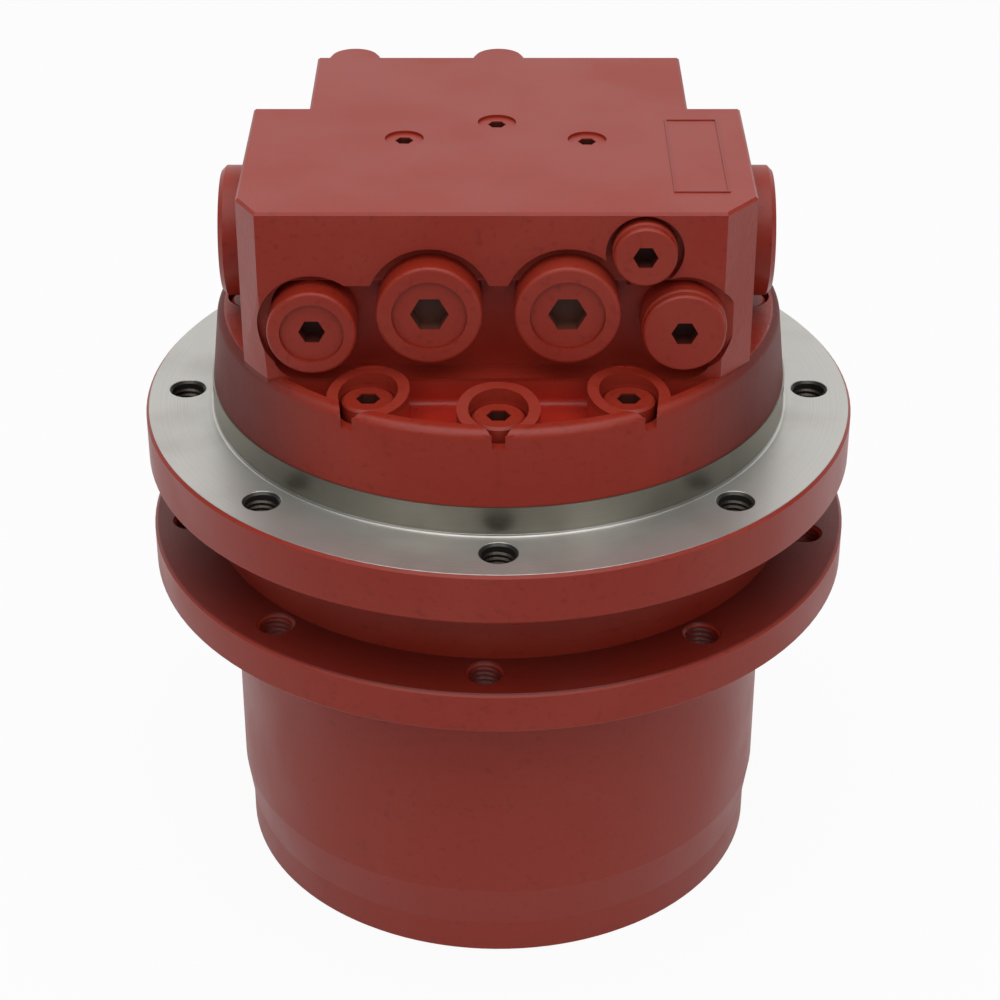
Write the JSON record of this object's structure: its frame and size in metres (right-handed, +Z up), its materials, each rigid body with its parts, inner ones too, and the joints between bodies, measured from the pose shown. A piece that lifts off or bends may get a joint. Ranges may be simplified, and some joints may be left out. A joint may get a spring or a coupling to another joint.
{
  "type": "excavator final drive",
  "caption": "Travel final drive: hydraulic motor block with ports on a bolted frame flange, over a planetary gear hub with a sprocket flange.",
  "frame": {"origin": "centre of the hub's bottom rim, on the surface it stands on", "axes": "+Z up along the shaft towards the motor, ports face -Y"},
  "size_m": [0.23, 0.23, 0.2535],
  "materials": {
    "red_paint": "satin",
    "machined_iron": "machined",
    "bright_steel": "ground",
    "bronze": "satin",
    "rubber": "matt"
  },
  "bodies": {
    "casing": {"motor_body": "red_paint", "spindle_flange": "machined_iron", "pilot_ring": "machined_iron", "body_screws": "red_paint", "main_port_plugs": "red_paint", "drain_port_plug": "red_paint", "pilot_port_plug": "red_paint", "gauge_port_plug": "red_paint", "top_orifice_plugs": "red_paint", "counterbalance_caps": "red_paint", "counterbalance_springs": "bright_steel", "two_speed_spring": "bright_steel", "main_bearing_inner_rings": "bright_steel", "bearing_lock_nut": "bright_steel", "seal_ring_fixed": "bright_steel", "seal_o_ring_fixed": "rubber", "second_stage_pins": "bright_steel", "second_stage_bushes": "bronze", "shaft_oil_seal": "rubber", "front_shaft_bearing": "bright_steel", "rear_shaft_bearing": "bright_steel", "valve_plate": "bronze", "swash_pivot_balls": "bright_steel", "brake_separator_plates": "bright_steel", "brake_spring": "bright_steel", "body_o_ring": "rubber"},
    "hub": {"hub": "red_paint", "sprocket_flange": "red_paint", "ring_gear": "bright_steel", "end_cover": "red_paint", "cover_o_ring": "rubber", "cover_snap_ring": "bright_steel", "oil_plugs": "bright_steel", "main_bearing_outer_rings": "bright_steel", "seal_ring_turning": "bright_steel", "seal_o_ring_turning": "rubber"},
    "bearing_balls": {"main_bearing_balls": "bright_steel", "main_bearing_cages": "bronze"},
    "second_planet_a": {"second_planet_a": "bright_steel"},
    "second_planet_b": {"second_planet_b": "bright_steel"},
    "second_planet_c": {"second_planet_c": "bright_steel"},
    "carrier": {"second_sun": "bright_steel", "first_carrier": "bright_steel", "first_stage_pins": "bright_steel", "first_stage_bushes": "bronze"},
    "first_planet_a": {"first_planet_a": "bright_steel"},
    "first_planet_b": {"first_planet_b": "bright_steel"},
    "first_planet_c": {"first_planet_c": "bright_steel"},
    "shaft": {"input_sun": "bright_steel", "drive_shaft": "bright_steel", "cylinder_block": "bright_steel", "pistons": "bright_steel", "brake_friction_discs": "bronze"},
    "shoe_ring": {"slipper_shoes": "bronze", "shoe_retainer": "bright_steel"},
    "swash": {"swash_plate": "bright_steel"},
    "control_piston": {"control_piston": "bright_steel"},
    "brake_piston": {"brake_piston": "bright_steel"},
    "counterbalance_spool": {"counterbalance_spool": "bright_steel"},
    "two_speed_spool": {"two_speed_spool": "bright_steel"}
  },
  "joints": [
    {"name": "shaft_spin", "type": "hinge", "parent": "casing", "child": "shaft", "pos_m": [0, 0, 0], "axis": [0, 0, 1], "continuous": true},
    {"name": "hub_spin", "type": "hinge", "parent": "casing", "child": "hub", "pos_m": [0, 0, 0], "axis": [0, 0, 1], "continuous": true},
    {"name": "bearing_ball_spin", "type": "hinge", "parent": "casing", "child": "bearing_balls", "pos_m": [0, 0, 0], "axis": [0, 0, 1], "continuous": true},
    {"name": "carrier_spin", "type": "hinge", "parent": "casing", "child": "carrier", "pos_m": [0, 0, 0], "axis": [0, 0, 1], "continuous": true},
    {"name": "shoe_ring_spin", "type": "hinge", "parent": "swash", "child": "shoe_ring", "pos_m": [0, 0, 0.118], "axis": [0, 0.2419, 0.9703], "continuous": true},
    {"name": "second_planet_a_spin", "type": "hinge", "parent": "casing", "child": "second_planet_a", "pos_m": [0, -0.042, 0.059], "axis": [0, 0, 1], "continuous": true},
    {"name": "first_planet_a_spin", "type": "hinge", "parent": "carrier", "child": "first_planet_a", "pos_m": [0.03377, -0.0195, 0.028], "axis": [0, 0, 1], "continuous": true},
    {"name": "second_planet_b_spin", "type": "hinge", "parent": "casing", "child": "second_planet_b", "pos_m": [0.03637, 0.021, 0.059], "axis": [0, 0, 1], "continuous": true},
    {"name": "first_planet_b_spin", "type": "hinge", "parent": "carrier", "child": "first_planet_b", "pos_m": [0, 0.039, 0.028], "axis": [0, 0, 1], "continuous": true},
    {"name": "second_planet_c_spin", "type": "hinge", "parent": "casing", "child": "second_planet_c", "pos_m": [-0.03637, 0.021, 0.059], "axis": [0, 0, 1], "continuous": true},
    {"name": "first_planet_c_spin", "type": "hinge", "parent": "carrier", "child": "first_planet_c", "pos_m": [-0.03377, -0.0195, 0.028], "axis": [0, 0, 1], "continuous": true},
    {"name": "swash_tilt", "type": "hinge", "parent": "casing", "child": "swash", "pos_m": [0, 0, 0.101], "axis": [1, 0, 0], "range_deg": [0, 7], "stiffness_Nm_per_rad": 1, "springref_deg": -11.46},
    {"name": "control_piston_slide", "type": "slide", "parent": "casing", "child": "control_piston", "axis": [0, 0, 1], "range_m": [0, 0.0036]},
    {"name": "brake_release", "type": "slide", "parent": "casing", "child": "brake_piston", "axis": [0, 0, 1], "range_m": [0, 0.0015], "deforming": ["brake_spring"]},
    {"name": "counterbalance_shift", "type": "slide", "parent": "casing", "child": "counterbalance_spool", "axis": [1, 0, 0], "range_m": [-0.006, 0.006], "stiffness_N_per_m": 2000, "deforming": ["counterbalance_springs"]},
    {"name": "two_speed_shift", "type": "slide", "parent": "casing", "child": "two_speed_spool", "axis": [0, 1, 0], "range_m": [0, 0.004], "stiffness_N_per_m": 300, "springref_m": -0.002, "deforming": ["two_speed_spring"]}
  ],
  "couplings": [
    {"joint": "hub_spin", "follows": "shaft_spin", "ratio": -0.034091},
    {"joint": "bearing_ball_spin", "follows": "shaft_spin", "ratio": -0.018233},
    {"joint": "carrier_spin", "follows": "shaft_spin", "ratio": 0.125},
    {"joint": "shoe_ring_spin", "follows": "shaft_spin", "ratio": 1},
    {"joint": "second_planet_a_spin", "follows": "shaft_spin", "ratio": -0.09375},
    {"joint": "first_planet_a_spin", "follows": "shaft_spin", "ratio": -0.38889},
    {"joint": "second_planet_b_spin", "follows": "shaft_spin", "ratio": -0.09375},
    {"joint": "first_planet_b_spin", "follows": "shaft_spin", "ratio": -0.38889},
    {"joint": "second_planet_c_spin", "follows": "shaft_spin", "ratio": -0.09375},
    {"joint": "first_planet_c_spin", "follows": "shaft_spin", "ratio": -0.38889},
    {"joint": "control_piston_slide", "follows": "swash_tilt", "m_per_rad": 0.029}
  ]
}
